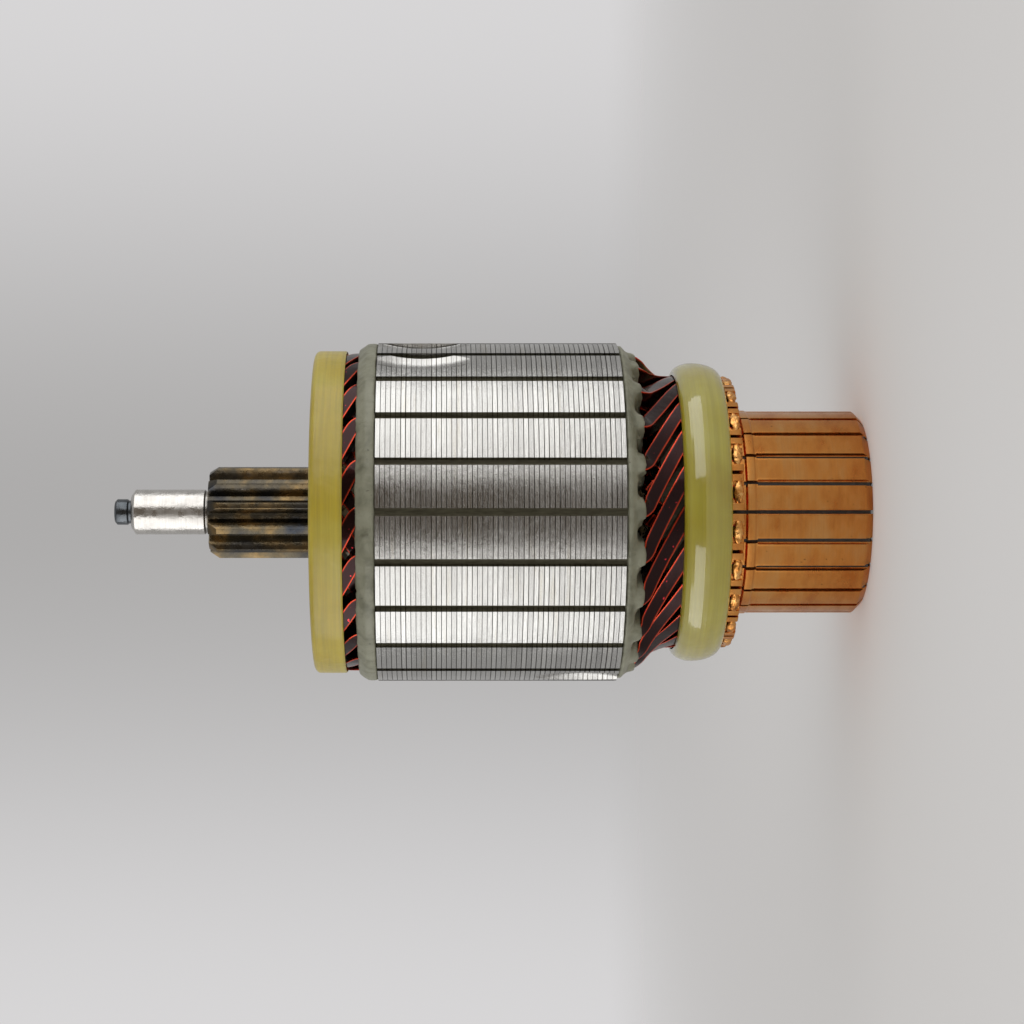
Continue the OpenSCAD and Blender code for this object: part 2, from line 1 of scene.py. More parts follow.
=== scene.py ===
# %% [markdown]
# # Armature of a geared starter motor
#
# A starter motor's armature is a small piece of heavy electrical engineering: a stack of thin
# steel sheets with a slot for every wire, copper hairpins thick enough for hundreds of amperes,
# a copper commutator that the brushes run on, and a shaft that ends in a small sun gear.
# This lesson loads the solid model of it, gives every surface its finish, and models the pieces
# whose looks a plain solid can't give: rounded enamelled wire, bevelled copper bars and shaft,
# end insulators soaked in resin, and welds.

# %% Load the solid model
import bpy
import json
from math import cos, pi, radians, sin
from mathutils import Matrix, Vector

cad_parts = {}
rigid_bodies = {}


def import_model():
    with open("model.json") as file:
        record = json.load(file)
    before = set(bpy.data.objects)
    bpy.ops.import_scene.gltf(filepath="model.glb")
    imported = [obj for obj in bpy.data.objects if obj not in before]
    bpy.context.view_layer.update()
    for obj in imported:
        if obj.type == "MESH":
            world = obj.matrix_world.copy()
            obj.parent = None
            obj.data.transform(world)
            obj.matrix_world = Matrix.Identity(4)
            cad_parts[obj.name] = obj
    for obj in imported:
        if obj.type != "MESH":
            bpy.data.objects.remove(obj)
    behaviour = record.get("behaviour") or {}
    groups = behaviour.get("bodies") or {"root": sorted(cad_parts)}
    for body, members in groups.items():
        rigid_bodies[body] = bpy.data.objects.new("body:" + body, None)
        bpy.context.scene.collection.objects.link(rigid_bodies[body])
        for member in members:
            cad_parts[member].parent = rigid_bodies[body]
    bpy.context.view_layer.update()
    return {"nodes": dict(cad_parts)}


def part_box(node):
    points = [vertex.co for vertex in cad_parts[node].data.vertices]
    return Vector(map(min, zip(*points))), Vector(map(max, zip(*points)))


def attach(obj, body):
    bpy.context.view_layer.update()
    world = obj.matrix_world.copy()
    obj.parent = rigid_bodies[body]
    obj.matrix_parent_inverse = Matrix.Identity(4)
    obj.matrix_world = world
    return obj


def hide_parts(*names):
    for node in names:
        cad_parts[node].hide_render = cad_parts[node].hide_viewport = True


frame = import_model()
parts = frame["nodes"]

# %% [markdown]
# ## Stations
#
# Everything on an armature sits on the shaft, so a height along Z and a distance from the axis
# say where a thing is. We read both from the solids' boxes instead of typing them again: when the
# solid model changes, the finishes and the new pieces move with it. The millimetre `mm` keeps the
# small sizes readable, because Blender counts in metres.

# %% Read the stations from the solids
mm = 0.001


def heights(name):
    low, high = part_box(name)
    return low.z, high.z


def reach(name):
    """Radius of a node that is round about the shaft"""
    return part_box(name)[1].x


core_low, core_high = heights("laminated_core")
shaft_low, shaft_high = heights("shaft")
weld_low, weld_high = heights("riser_welds")
weld_r = reach("riser_welds")
slot_count = sum(name.startswith("hairpin_") for name in parts)
pitch = 2 * pi / slot_count
middle_z = (shaft_low + shaft_high) / 2
print(slot_count, "slots; core from", round(core_low / mm, 2), "to", round(core_high / mm, 2), "mm")

# %% [markdown]
# ## Camera
#
# The armature is shown lying across the picture, yet it stands on its commutator in its own
# frame. Turning the camera a quarter turn about its own line of sight shows it that way without
# touching the model. A long lens from under half a metre keeps the slight bulge that a close
# view gives to the bands and the risers.

# %% Place the camera
camera_data = bpy.data.cameras.new("camera")
camera_data.lens = 84.4
camera_data.shift_x = 0.0703
camera = bpy.data.objects.new("camera", camera_data)
bpy.context.scene.collection.objects.link(camera)
camera.location = (0, -0.4278, 0.0742)
camera.rotation_euler = (radians(90), radians(90), 0)
bpy.context.scene.camera = camera
print("camera", round(camera.location.length, 3), "m from the foot of the armature")

# %% [markdown]
# ## Two softboxes
#
# Bright metal has no colour of its own: it shows what stands around it. Product light for such
# a thing is two large softboxes, one on either side of the camera, with a darker gap between
# them. The gap draws the dark stripe down the middle of every cylinder, and the boxes draw the
# long highlights on both sides of it. A rectangular area light is a softbox, so two of them do
# the work. They are hidden from the camera alone, so that no view looks into one.

# %% Hang the softboxes
softbox_distance = 0.62
softbox_width = 0.62
softbox_length = 0.9
softbox_radiance = 1.65
softbox_angle = radians(62)


def softbox(name, side):
    data = bpy.data.lights.new(name, "AREA")
    data.shape = "RECTANGLE"
    data.size = softbox_length
    data.size_y = softbox_width
    data.energy = softbox_radiance * pi * softbox_length * softbox_width
    lamp = bpy.data.objects.new(name, data)
    bpy.context.scene.collection.objects.link(lamp)
    lamp.location = (side * softbox_distance * sin(softbox_angle),
                     -softbox_distance * cos(softbox_angle), middle_z)
    direction = lamp.location.copy()
    direction.z = 0
    lamp.rotation_euler = direction.to_track_quat("Z", "Y").to_euler()
    lamp.visible_camera = False


for name, side in (("softbox_right", 1), ("softbox_left", -1)):
    softbox(name, side)
print("softboxes of", softbox_length, "x", softbox_width, "m")

# %% [markdown]
# ## Surroundings
#
# The room does three jobs. The camera sees a pale grey with painted shade in it: darker in a
# band along the armature, paler to either side of it. Glossy surfaces see a dim front, where the
# camera and the dark studio are, and a pale paper behind and beside the object. Both come from
# one world whose colour follows the direction of the ray, which stays put when the camera moves.
# The floor is a disc under the armature that takes its shadow and fades out long before its
# edge, so that no hard horizon cuts the picture. The view transform is the plain one, so a
# colour comes out as it is written.

# %% Build the world
# The first colour is the paper darkened by painted shade behind the armature, seen by the camera alone;
# paper_far is the plain paper to either side.
painted_shade_paper = (0.42, 0.412, 0.408)
paper_far = (0.68, 0.67, 0.675)
paper_far_at = 0.22
front_dark = (0.15, 0.125, 0.10)
front_dark_at = 0.02
front_pale = (0.46, 0.455, 0.45)
world = bpy.data.worlds.new("studio")
bpy.context.scene.world = world
bpy.context.scene.view_settings.view_transform = "Standard"
world.use_nodes = True
nodes, links = world.node_tree.nodes, world.node_tree.links
nodes.clear()
direction = nodes.new("ShaderNodeTexCoord")
split = nodes.new("ShaderNodeSeparateXYZ")
links.new(direction.outputs["Generated"], split.inputs[0])
front = nodes.new("ShaderNodeValToRGB")
front.color_ramp.elements[0].position = front_dark_at
front.color_ramp.elements[0].color = (*front_dark, 1)
front.color_ramp.elements[1].position = 0.5
front.color_ramp.elements[1].color = (*front_pale, 1)
half = nodes.new("ShaderNodeMapRange")
half.inputs["From Min"].default_value = -1
links.new(split.outputs["Y"], half.inputs["Value"])
links.new(half.outputs["Result"], front.inputs["Fac"])
aside = nodes.new("ShaderNodeMath")
aside.operation = "ABSOLUTE"
links.new(split.outputs["X"], aside.inputs[0])
# Camera rays: painted shade on the backdrop, darkest in the middle and fading to the plain paper at
# paper_far_at.
backdrop_painted_shade = nodes.new("ShaderNodeValToRGB")
backdrop_painted_shade.color_ramp.interpolation = "EASE"
backdrop_painted_shade.color_ramp.elements[0].color = (*painted_shade_paper, 1)
backdrop_painted_shade.color_ramp.elements[1].position = paper_far_at
backdrop_painted_shade.color_ramp.elements[1].color = (*paper_far, 1)
links.new(aside.outputs[0], backdrop_painted_shade.inputs["Fac"])
seen = nodes.new("ShaderNodeLightPath")
pick = nodes.new("ShaderNodeMix")
pick.data_type = "RGBA"
links.new(seen.outputs["Is Camera Ray"], pick.inputs[0])
links.new(front.outputs["Color"], pick.inputs[6])
links.new(backdrop_painted_shade.outputs["Color"], pick.inputs[7])
background = nodes.new("ShaderNodeBackground")
links.new(pick.outputs[2], background.inputs["Color"])
output = nodes.new("ShaderNodeOutputWorld")
links.new(background.outputs[0], output.inputs["Surface"])
print("world of", len(nodes), "nodes")

# %% [markdown]
# ## A short way to write a finish
#
# A procedural finish is a small net of nodes: a pattern, a colour ramp, a bump. Written out in
# full, each takes a dozen lines of linking, so one little class does the linking. Every method
# adds one node and gives back its output, and what is the same all over a surface is set on the
# shader itself.

# %% Define the finish helper
class Finish:
    """A material in the making, on the coordinates of the object it is given to."""

    def __init__(self, name, **plain):
        self.material = bpy.data.materials.new(name)
        self.material.use_nodes = True
        self.tree = self.material.node_tree
        self.shader = self.tree.nodes["Principled BSDF"]
        self.place = self.tree.nodes.new("ShaderNodeTexCoord").outputs["Object"]
        for socket, value in plain.items():
            self.plain(socket.replace("_", " ").title(), value)

    def plain(self, socket, value):
        """Sets a value that is the same all over."""
        if isinstance(value, tuple) and len(value) == 3 and socket in ("Base Color", "Coat Tint"):
            value = (*value, 1)
        self.shader.inputs[socket.replace("Ior", "IOR")].default_value = value

    def add(self, kind, inputs, output=0, **settings):
        """Adds a node. Its inputs are numbers, tuples or the outputs of other nodes."""
        node = self.tree.nodes.new("ShaderNode" + kind)
        for key, value in settings.items():
            setattr(node, key, value)
        for key, value in inputs.items():
            if isinstance(value, bpy.types.NodeSocket):
                self.tree.links.new(value, node.inputs[key])
            else:
                node.inputs[key].default_value = value
        return node.outputs[output]

    def give(self, socket, output):
        self.tree.links.new(output, self.shader.inputs[socket])

    def scaled(self, x, y, z):
        """The object's coordinates, stretched: a big number makes a pattern finer that way."""
        return self.add("Mapping", {"Vector": self.place, "Scale": (x, y, z)})

    def noise(self, scale, detail=3.0, roughness=0.5, vector=None, distortion=0.0):
        inputs = {"Vector": vector or self.place, "Scale": scale, "Detail": detail,
                  "Roughness": roughness, "Distortion": distortion}
        return self.add("TexNoise", inputs)

    def maths(self, operation, a, b=0.0):
        return self.add("Math", {0: a, 1: b}, operation=operation)

    def spread(self, value, low, high, start=0.0, end=1.0):
        """Stretches the values between low and high to the range from start to end."""
        inputs = {"Value": value, "From Min": low, "From Max": high, "To Min": start, "To Max": end}
        return self.add("MapRange", inputs, interpolation_type="SMOOTHSTEP")

    def ramp(self, value, *stops):
        """Colours by value: each stop is a place from 0 to 1 and a colour."""
        output = self.add("ValToRGB", {"Fac": value})
        elements = output.node.color_ramp.elements
        while len(elements) < len(stops):
            elements.new(0.5)
        for element, (place, colour) in zip(elements, stops):
            element.position = place
            element.color = (*colour, 1)
        return output

    def mixed(self, share, a, b):
        a, b = ((*c, 1) if isinstance(c, tuple) else c for c in (a, b))
        output = self.add("Mix", {}, data_type="RGBA")
        node = output.node
        for socket, value in ((node.inputs[0], share), (node.inputs[6], a), (node.inputs[7], b)):
            if isinstance(value, bpy.types.NodeSocket):
                self.tree.links.new(value, socket)
            else:
                socket.default_value = value
        return node.outputs[2]

    def bump(self, height, depth, under=None):
        """A relief of a depth in metres. Under it may lie another relief."""
        inputs = {"Height": height, "Distance": depth, "Strength": 1.0}
        if under is not None:
            inputs["Normal"] = under
        return self.add("Bump", inputs)

    def split(self):
        """The object's coordinates one by one."""
        node = self.add("SeparateXYZ", {0: self.place}).node
        return node.outputs


print("finish helper ready")

# %% [markdown]
# ## Floor
#
# The floor is matt and pale. A little light of its own, for the camera alone, lifts it to the
# brightness of the paper behind it, while its matt part still shows the armature's shadow. A
# ramp on the distance from the shaft blends it into clear air.

# %% Lay the floor
floor_r = 1.6
fade_start, fade_end = 0.1, 0.7
floor_lift = 0.13
bpy.ops.object.select_all(action="DESELECT")
bpy.ops.mesh.primitive_circle_add(vertices=96, radius=floor_r, fill_type="NGON")
floor = bpy.context.object
floor.name = "floor"
matt = Finish("floor_paper", Base_Color=(0.78, 0.77, 0.765), Roughness=0.9)
away = matt.add("VectorMath", {0: matt.place}, output=1, operation="LENGTH")
matt.give("Alpha", matt.spread(away, fade_start, fade_end, 1.0, 0.0))
by_camera = matt.add("LightPath", {}, output="Is Camera Ray")
matt.plain("Emission Color", (1.0, 0.99, 0.985, 1.0))
matt.give("Emission Strength", matt.maths("MULTIPLY", by_camera, floor_lift))
floor.data.materials.append(matt.material)
print("floor laid")

# %% [markdown]
# ## Core steel
#
# The core is a pile of thin electrical sheets, turned to size after it was pressed on the shaft.
# Each sheet takes the light a little differently and a fine dark line shows between two of
# them. The line's depth is real in the solid, and the finish paints shade into it too: a dark
# band of random width at the edge of every sheet. The finish also adds what differs from sheet
# to sheet: a random grey for each, found from the height of the sheet, fine turning marks round
# the rim, and a duller film of varnish in places.

# %% Finish the core
sheet_count = 49
sheet_pitch = (core_high - core_low) / sheet_count

core_steel = Finish("core_steel", Metallic=1.0)
height = core_steel.split()["Z"]
sheet = core_steel.maths("DIVIDE", core_steel.maths("SUBTRACT", height, core_low), sheet_pitch)
number = core_steel.maths("FLOOR", sheet)
chance = core_steel.add("TexWhiteNoise", {"W": number}, noise_dimensions="1D")
across = core_steel.maths("PINGPONG", sheet, 0.5)
# Painted shade: lit falls to 0 in a band of random width at each sheet's edge, where the gap between
# two sheets lies in shade.
lit = core_steel.spread(across, 0.0, core_steel.spread(chance, 0.2, 1.0, 0.05, 0.22))
marks = core_steel.noise(1.0, 4, 0.6, core_steel.scaled(240, 240, 9000))
patches = core_steel.noise(140, 4, 0.6)
film = core_steel.noise(1.0, 3, 0.6, core_steel.scaled(60, 60, 700))
grey = core_steel.mixed(chance, (0.46, 0.455, 0.44), (0.60, 0.595, 0.575))
grey = core_steel.mixed(core_steel.spread(marks, 0.3, 0.75, 0.0, 0.35), grey, (0.33, 0.32, 0.30))
grey = core_steel.mixed(core_steel.spread(film, 0.55, 0.75, 0.0, 0.35), grey, (0.42, 0.38, 0.30))
# The dark colour here is painted shade in the gaps between the sheets.
grey = core_steel.mixed(lit, (0.07, 0.06, 0.05), grey)
core_steel.give("Base Color", grey)
core_steel.give("Roughness", core_steel.spread(patches, 0.3, 0.7, 0.15, 0.26))
relief = core_steel.bump(marks, 0.03 * mm)
core_steel.give("Normal", core_steel.bump(core_steel.noise(900, 4), 0.04 * mm, under=relief))
print("core steel:", sheet_count, "sheets of", round(sheet_pitch / mm, 3), "mm")

# %% [markdown]
# ## Shaft steel
#
# The shaft is one piece with four finishes along it. The sun gear is hardened, black from the
# quench with bronze tints where the oxide is thin. The journal beyond it is ground bright, the
# nose at its tip is left dark, and the plain shaft under the core is oiled steel. Height along
# the shaft picks between the first three: all of the shaft below the journal, the part under
# the core too, takes the gear's finish.

# %% Finish the shaft
gear_rise, journal_rise = 29.9 * mm, 14 * mm
gear_high = core_high + gear_rise
journal_high = gear_high + journal_rise
shaft_steel = Finish("shaft_steel", Metallic=1.0)
height = shaft_steel.split()["Z"]
streaks = shaft_steel.noise(1.0, 4, 0.6, shaft_steel.scaled(900, 900, 90))
tints = shaft_steel.noise(170, 3, 0.6)
rings = shaft_steel.noise(1.0, 3, 0.6, shaft_steel.scaled(120, 120, 6000))
hard = shaft_steel.ramp(tints, (0.30, (0.045, 0.05, 0.06)), (0.52, (0.10, 0.085, 0.06)),
                        (0.66, (0.22, 0.15, 0.07)), (0.8, (0.12, 0.11, 0.10)))
hard = shaft_steel.mixed(shaft_steel.spread(streaks, 0.62, 0.78, 0.0, 0.8), hard, (0.35, 0.32, 0.28))
bright = shaft_steel.mixed(shaft_steel.spread(rings, 0.3, 0.8, 0.0, 0.5),
                           (0.62, 0.60, 0.57), (0.42, 0.40, 0.37))
dark = shaft_steel.ramp(tints, (0.35, (0.07, 0.08, 0.09)), (0.7, (0.16, 0.17, 0.18)))
on_journal = shaft_steel.spread(height, gear_high + 0.2 * mm, gear_high + 0.9 * mm)
on_nose = shaft_steel.spread(height, journal_high - 0.2 * mm, journal_high + 0.1 * mm)
steel = shaft_steel.mixed(on_journal, hard, bright)
shaft_steel.give("Base Color", shaft_steel.mixed(on_nose, steel, dark))
shaft_steel.give("Roughness", shaft_steel.spread(shaft_steel.noise(600, 4), 0.3, 0.7, 0.2, 0.36))
relief = shaft_steel.bump(rings, 0.02 * mm)
shaft_steel.give("Normal", shaft_steel.bump(shaft_steel.noise(1500, 4), 0.05 * mm, under=relief))
print("shaft steel: gear up to", round(gear_high / mm, 1), "mm")

# %% [markdown]
# ## Copper of the commutator
#
# The bars are bare copper, turned with a sharp tool: fine grooves run round the track, and the
# brushes leave a darker band with a thin brown film. Heat from the welding colours the copper
# towards the risers. The welds themselves were molten, so they are lumpy, with brown scale.

# %% Finish the bars and the welds
bar_copper = Finish("bar_copper", Metallic=1.0)
turned = bar_copper.noise(1.0, 4, 0.65, bar_copper.scaled(90, 90, 11000))
film = bar_copper.noise(1.0, 3, 0.6, bar_copper.scaled(120, 120, 260))
specks = bar_copper.noise(1300, 3, 0.6)
copper = bar_copper.ramp(film, (0.3, (0.78, 0.40, 0.13)), (0.5, (0.76, 0.32, 0.075)),
                         (0.72, (0.58, 0.19, 0.035)))
copper = bar_copper.mixed(bar_copper.spread(turned, 0.35, 0.7, 0.0, 0.3), copper, (0.50, 0.19, 0.07))
copper = bar_copper.mixed(bar_copper.spread(specks, 0.68, 0.74, 0.0, 0.7), copper, (0.10, 0.035, 0.012))
bar_copper.give("Base Color", copper)
bar_copper.give("Roughness", bar_copper.spread(film, 0.3, 0.7, 0.16, 0.28))
bar_copper.give("Normal", bar_copper.bump(turned, 0.006 * mm))

weld_copper = Finish("weld_copper", Metallic=1.0)
lumps = weld_copper.noise(700, 4, 0.6)
scale = weld_copper.noise(420, 5, 0.65, distortion=0.6)
copper = weld_copper.ramp(scale, (0.33, (0.14, 0.05, 0.015)), (0.46, (0.75, 0.32, 0.08)),
                          (0.58, (0.95, 0.52, 0.18)), (0.75, (0.95, 0.66, 0.32)))
weld_copper.give("Base Color", copper)
weld_copper.give("Roughness", weld_copper.spread(lumps, 0.3, 0.7, 0.2, 0.45))
weld_copper.give("Normal", weld_copper.bump(lumps, 0.25 * mm))
print("copper finishes ready")

# %% [markdown]
# ## Enamelled wire
#
# The hairpins are copper under a dark red enamel. Enamel draws thin over a sharp corner, so a
# wire looks almost black on its flats and glows orange red along its four corners, while a
# clear gloss over all of it mirrors the softboxes in grey. The hairpin carries an attribute
# named "corner" that is 1 along its rounded corners and 0 on its flats.

# %% Finish the wire
wire_enamel = Finish("wire_enamel", Metallic=0.9, Roughness=0.26, Coat_Weight=0.3, Coat_Roughness=0.05,
                     Coat_IOR=1.55)
corner = wire_enamel.add("Attribute", {}, output=2, attribute_name="corner")
drips = wire_enamel.noise(420, 3, 0.5)
specks = wire_enamel.noise(900, 2, 0.5)
thin = wire_enamel.spread(corner, 0.1, 0.7)
enamel = wire_enamel.mixed(thin, (0.018, 0.002, 0.002), (0.95, 0.085, 0.025))
enamel = wire_enamel.mixed(wire_enamel.spread(specks, 0.7, 0.74), enamel, (0.8, 0.03, 0.05))
wire_enamel.give("Base Color", enamel)
wire_enamel.give("Normal", wire_enamel.bump(drips, 0.12 * mm))
print("wire enamel ready")

# %% [markdown]
# ## Bands, insulators and moulding
#
# The two bands hold the winding against centrifugal force. The one at the drive end is a wrap
# of glass tape, the one behind the risers is wound from glass cord, and both are soaked with a
# yellow resin that lets a little light in. The end insulators are the same family, grey green
# and dull. The hub of the commutator is a dark phenolic moulding.

# %% Finish the insulation
tape = Finish("drive_band_fibre", Roughness=0.42, Subsurface_Weight=0.25, Subsurface_Scale=0.0015,
              Coat_Weight=0.35, Coat_Roughness=0.22)
tape.plain("Subsurface Radius", (1.0, 0.7, 0.2))
wraps = tape.noise(1.0, 4, 0.6, tape.scaled(45, 45, 1600))
soaked = tape.noise(75, 3, 0.55)
yellow = tape.ramp(soaked, (0.3, (0.54, 0.45, 0.07)), (0.5, (0.51, 0.39, 0.035)),
                   (0.7, (0.43, 0.34, 0.02)))
tape.give("Base Color", tape.mixed(tape.spread(wraps, 0.3, 0.75, 0.0, 0.4), yellow, (0.24, 0.19, 0.04)))
relief = tape.bump(wraps, 0.06 * mm)
tape.give("Normal", tape.bump(tape.noise(160, 3), 0.5 * mm, under=relief))

cord = Finish("cord_band_fibre", Roughness=0.3, Subsurface_Weight=0.3, Subsurface_Scale=0.0015,
              Coat_Weight=1.0, Coat_Roughness=0.07, Coat_IOR=1.75)
cord.plain("Subsurface Radius", (1.0, 0.8, 0.2))
turns = cord.noise(1.0, 4, 0.6, cord.scaled(30, 30, 1300))
soaked = cord.noise(60, 3, 0.55)
yellow = cord.ramp(soaked, (0.3, (0.50, 0.46, 0.075)), (0.5, (0.44, 0.38, 0.035)),
                   (0.72, (0.38, 0.30, 0.015)))
cord.give("Base Color", cord.mixed(cord.spread(turns, 0.3, 0.75, 0.0, 0.3), yellow, (0.23, 0.19, 0.03)))
relief = cord.bump(turns, 0.04 * mm)
cord.give("Normal", cord.bump(cord.noise(120, 3), 0.4 * mm, under=relief))

insulator = Finish("insulator_plastic", Roughness=0.5, Coat_Weight=0.2, Coat_Roughness=0.3)
smears = insulator.noise(230, 4, 0.6, distortion=0.4)
pits = insulator.noise(1500, 3, 0.6)
grey = insulator.ramp(smears, (0.3, (0.30, 0.30, 0.22)), (0.5, (0.24, 0.24, 0.17)),
                      (0.72, (0.12, 0.12, 0.075)))
in_pits = insulator.spread(pits, 0.66, 0.74, 0.0, 0.6)
insulator.give("Base Color", insulator.mixed(in_pits, grey, (0.06, 0.055, 0.035)))
relief = insulator.bump(pits, 0.08 * mm)
insulator.give("Normal", insulator.bump(smears, 0.5 * mm, under=relief))

paper_finish = Finish("liner_paper", Roughness=0.55)
fibres = paper_finish.noise(1.0, 4, 0.6, paper_finish.scaled(2600, 2600, 500))
olive = paper_finish.ramp(fibres, (0.3, (0.10, 0.092, 0.05)), (0.7, (0.19, 0.175, 0.11)))
paper_finish.give("Base Color", olive)
paper_finish.give("Normal", paper_finish.bump(fibres, 0.04 * mm))

moulding = Finish("hub_moulding", Roughness=0.45)
fleck = moulding.noise(1800, 4, 0.7)
black = moulding.ramp(fleck, (0.35, (0.012, 0.011, 0.010)), (0.7, (0.05, 0.043, 0.036)))
moulding.give("Base Color", black)
moulding.give("Normal", moulding.bump(moulding.noise(700, 4), 0.06 * mm))

bush_steel = Finish("bush_steel", Metallic=1.0)
rings = bush_steel.noise(1.0, 4, 0.6, bush_steel.scaled(300, 300, 5000))
steel = bush_steel.ramp(rings, (0.3, (0.40, 0.39, 0.38)), (0.7, (0.26, 0.25, 0.24)))
bush_steel.give("Base Color", steel)
bush_steel.give("Roughness", bush_steel.spread(rings, 0.3, 0.7, 0.3, 0.45))
print("insulation finishes ready")

# %% [markdown]
# ## Solids that keep their own shape
#
# The core, the bands, the liners, the moulding and the bush look right with the shape that the
# solid model gives them. They only need their finish, which is hung on the loaded mesh.

# %% Dress the nodes of the solid model
def dress(name, finish):
    piece = parts[name]
    piece.data.materials.clear()
    piece.data.materials.append(finish.material)


dress("laminated_core", core_steel)
dress("slot_liners", paper_finish)
dress("slot_separators", paper_finish)
dress("layer_sleeve", paper_finish)
dress("drive_end_band", tape)
dress("commutator_end_band", cord)
dress("commutator_bush", bush_steel)
dress("commutator_moulding", moulding)
print("nodes dressed")

# %% [markdown]
# ## Hairpins
#
# A hairpin is a bent bar of rectangular wire. The solid model has its whole course with sharp
# corners, so the way to the real thing is short: weld the loose triangles of one hairpin, make
# quads of them, round the four long corners with a bevel and smooth the bends with one level of
# subdivision. The middle row of each bevel is where the enamel is thin, so it gets the "corner"
# attribute. The other hairpins are turned copies.

# %% Round the first hairpin
merge_distance = 0.0005 * mm
corner_round = 0.6 * mm


def alone(piece):
    """Makes a piece the only one that is selected, and the active one."""
    bpy.ops.object.select_all(action="DESELECT")
    piece.select_set(True)
    bpy.context.view_layer.objects.active = piece


def welded_copy(node, name):
    """A copy of a node's mesh as one closed surface without old normals."""
    piece = bpy.data.objects.new(name, parts[node].data.copy())
    bpy.context.scene.collection.objects.link(piece)
    alone(piece)
    bpy.ops.mesh.customdata_custom_splitnormals_clear()
    bpy.ops.object.mode_set(mode="EDIT")
    bpy.ops.mesh.select_mode(type="VERT")
    bpy.ops.mesh.select_all(action="SELECT")
    bpy.ops.mesh.remove_doubles(threshold=merge_distance)
    bpy.ops.mesh.mark_sharp(clear=True)
    bpy.ops.mesh.select_all(action="DESELECT")
    bpy.ops.object.mode_set(mode="OBJECT")
    return piece


first_pin = welded_copy("hairpin_01", "winding_hairpin_01")
bpy.ops.object.mode_set(mode="EDIT")
bpy.ops.mesh.select_all(action="SELECT")
bpy.ops.mesh.tris_convert_to_quads(face_threshold=radians(70), shape_threshold=radians(120))
bpy.ops.mesh.select_all(action="DESELECT")
bpy.ops.mesh.select_mode(type="EDGE")
bpy.ops.mesh.edges_select_sharp(sharpness=radians(75))
bpy.ops.mesh.bevel(offset=corner_round, segments=2, affect="EDGES", clamp_overlap=True)
bpy.ops.object.mode_set(mode="OBJECT")
mesh = first_pin.data
on_flats = {point for face in mesh.polygons if not face.select for point in face.vertices}
mesh.attributes.new("corner", "FLOAT", "POINT")
thin_enamel = [float(point.index not in on_flats) for point in mesh.vertices]
mesh.attributes["corner"].data.foreach_set("value", thin_enamel)
smoother = first_pin.modifiers.new("smooth bends", "SUBSURF")
smoother.levels = smoother.render_levels = 1
bpy.ops.object.modifier_apply(modifier=smoother.name)
bpy.ops.object.shade_smooth()
mesh.materials.clear()
mesh.materials.append(wire_enamel.material)
print("hairpin of", len(mesh.polygons), "faces")

# %% [markdown]
# ## The whole winding
#
# All hairpins of such a winding are bent on one tool, so they are alike. One slot pitch turns
# one into the next.

# %% Copy it round the core
def turned_copy(piece, name, angle):
    """A copy with its own mesh, turned about the shaft."""
    twin = bpy.data.objects.new(name, piece.data.copy())
    bpy.context.scene.collection.objects.link(twin)
    alone(twin)
    twin.rotation_euler.z = angle
    bpy.ops.object.transform_apply(location=False, rotation=True, scale=False)
    return twin


def fit(piece, slot, *nodes):
    """Puts a new piece on the armature, in the place of the nodes it stands for."""
    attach(piece, "root")
    if nodes:
        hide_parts(*nodes)


fit(first_pin, "wire_copper", "hairpin_01")
for i in range(1, slot_count):
    twin = turned_copy(first_pin, f"winding_hairpin_{i + 1:02}", i * pitch)
    fit(twin, "wire_copper", f"hairpin_{i + 1:02}")
print(slot_count, "hairpins in the winding")

# %% [markdown]
# ## Edges of the bars and of the shaft
#
# No machined edge is perfectly sharp: a file or a brush takes it off, and the thin bevel that is
# left catches the light as a bright line. That line is what makes metal read as metal. A bar is
# welded from its triangles, its flat faces are joined again, and every edge sharper than thirty
# degrees gets a narrow bevel. The other bars are turned copies, and the shaft is done the same
# way.

# %% Bevel the sharp edges
flat_within = radians(0.5)
sharp_from = radians(30)
smooth_within = radians(15)
bar_edge = 0.07 * mm
shaft_edge = 0.09 * mm


def eased_edges(node, name, width):
    piece = welded_copy(node, name)
    bpy.ops.object.mode_set(mode="EDIT")
    bpy.ops.mesh.select_all(action="SELECT")
    bpy.ops.mesh.dissolve_limited(angle_limit=flat_within)
    bpy.ops.mesh.select_all(action="DESELECT")
    bpy.ops.mesh.select_mode(type="EDGE")
    bpy.ops.mesh.edges_select_sharp(sharpness=sharp_from)
    bpy.ops.mesh.bevel(offset=width, segments=2, affect="EDGES", clamp_overlap=True)
    bpy.ops.object.mode_set(mode="OBJECT")
    bpy.ops.object.shade_smooth_by_angle(angle=smooth_within)
    return piece


first_bar = eased_edges("commutator_bar_01", "copper_bar_01", bar_edge)
first_bar.data.materials.clear()
first_bar.data.materials.append(bar_copper.material)
fit(first_bar, "bar_copper", "commutator_bar_01")
for i in range(1, slot_count):
    twin = turned_copy(first_bar, f"copper_bar_{i + 1:02}", i * pitch)
    fit(twin, "bar_copper", f"commutator_bar_{i + 1:02}")

turned_shaft = eased_edges("shaft", "turned_shaft", shaft_edge)
turned_shaft.data.materials.clear()
turned_shaft.data.materials.append(shaft_steel.material)
fit(turned_shaft, "shaft_steel", "shaft")
print("bar of", len(first_bar.data.polygons), "faces, shaft of", len(turned_shaft.data.polygons))

# %% [markdown]
# ## End insulators
#
# The insulators are moulded, then the whole winding is dipped and baked, and resin gathers in
# soft lobes where the wires leave them. To model that at the commutator end, the solid insulator
# is joined with short sleeves: pieces of the hairpins themselves, cut off near the core and
# fattened a little. A voxel remesh melts all of it into one skin, a few passes of smoothing round
# it off, and a cloud texture makes it uneven. The insulator at the drive end gets no sleeves,
# only the remesh, the smoothing and the clouds.

